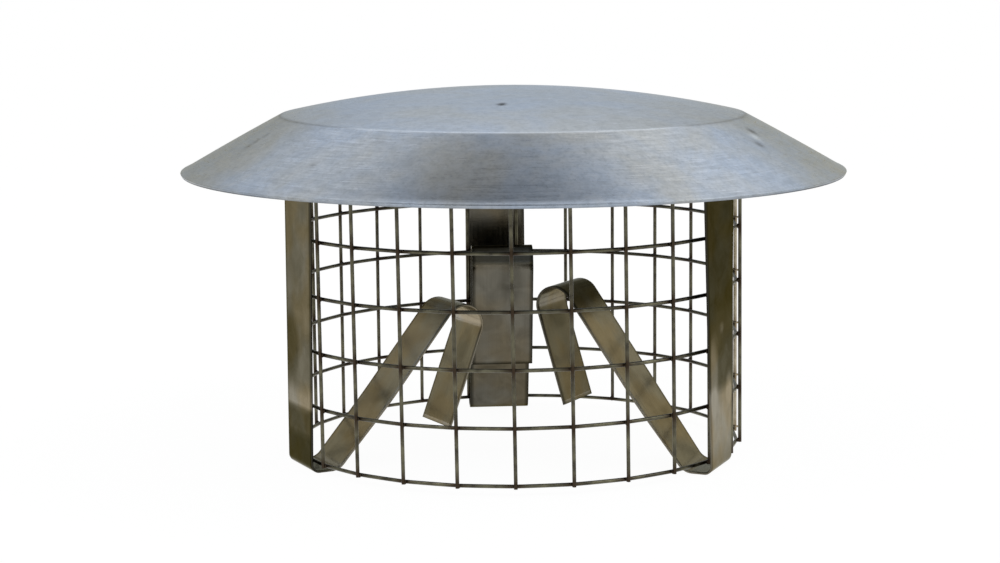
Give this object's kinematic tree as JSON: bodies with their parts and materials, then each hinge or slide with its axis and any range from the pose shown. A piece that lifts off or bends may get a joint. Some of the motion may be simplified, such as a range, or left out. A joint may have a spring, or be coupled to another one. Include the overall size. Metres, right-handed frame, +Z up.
{
  "type": "vent bird guard",
  "caption": "Round vent bird guard: a spun rain cap over a welded wire mesh cage, held by folded strap legs that hook down into the flue.",
  "frame": {"origin": "on the axis of the cap and cage, at the level of the underside of the strap legs", "axes": "+Z up along the axis of the cap and cage; -Y is the side that the picture shows, +X to its right"},
  "size_m": [0.31, 0.31, 0.1712],
  "materials": {
    "cap_sheet": "spun and satin, with faint turning lines",
    "strap_steel": "rolled stainless strip, satin",
    "mesh_wire": "drawn stainless wire, darkened at the welds"
  },
  "bodies": {
    "root": {"rain_cap": "cap_sheet", "ring_wire_1": "mesh_wire", "ring_wire_2": "mesh_wire", "ring_wire_3": "mesh_wire", "ring_wire_4": "mesh_wire", "ring_wire_5": "mesh_wire", "ring_wire_6": "mesh_wire", "ring_wire_7": "mesh_wire", "upright_wire_01": "mesh_wire", "upright_wire_02": "mesh_wire", "upright_wire_03": "mesh_wire", "upright_wire_04": "mesh_wire", "upright_wire_05": "mesh_wire", "upright_wire_06": "mesh_wire", "upright_wire_07": "mesh_wire", "upright_wire_08": "mesh_wire", "upright_wire_09": "mesh_wire", "upright_wire_10": "mesh_wire", "upright_wire_11": "mesh_wire", "upright_wire_12": "mesh_wire", "upright_wire_13": "mesh_wire", "upright_wire_14": "mesh_wire", "upright_wire_15": "mesh_wire", "upright_wire_16": "mesh_wire", "upright_wire_17": "mesh_wire", "upright_wire_18": "mesh_wire", "upright_wire_19": "mesh_wire", "upright_wire_20": "mesh_wire", "upright_wire_21": "mesh_wire", "upright_wire_22": "mesh_wire", "upright_wire_23": "mesh_wire", "upright_wire_24": "mesh_wire", "upright_wire_25": "mesh_wire", "upright_wire_26": "mesh_wire", "strap_leg_left": "strap_steel", "strap_leg_right": "strap_steel", "strap_leg_back": "strap_steel"}
  },
  "joints": []
}
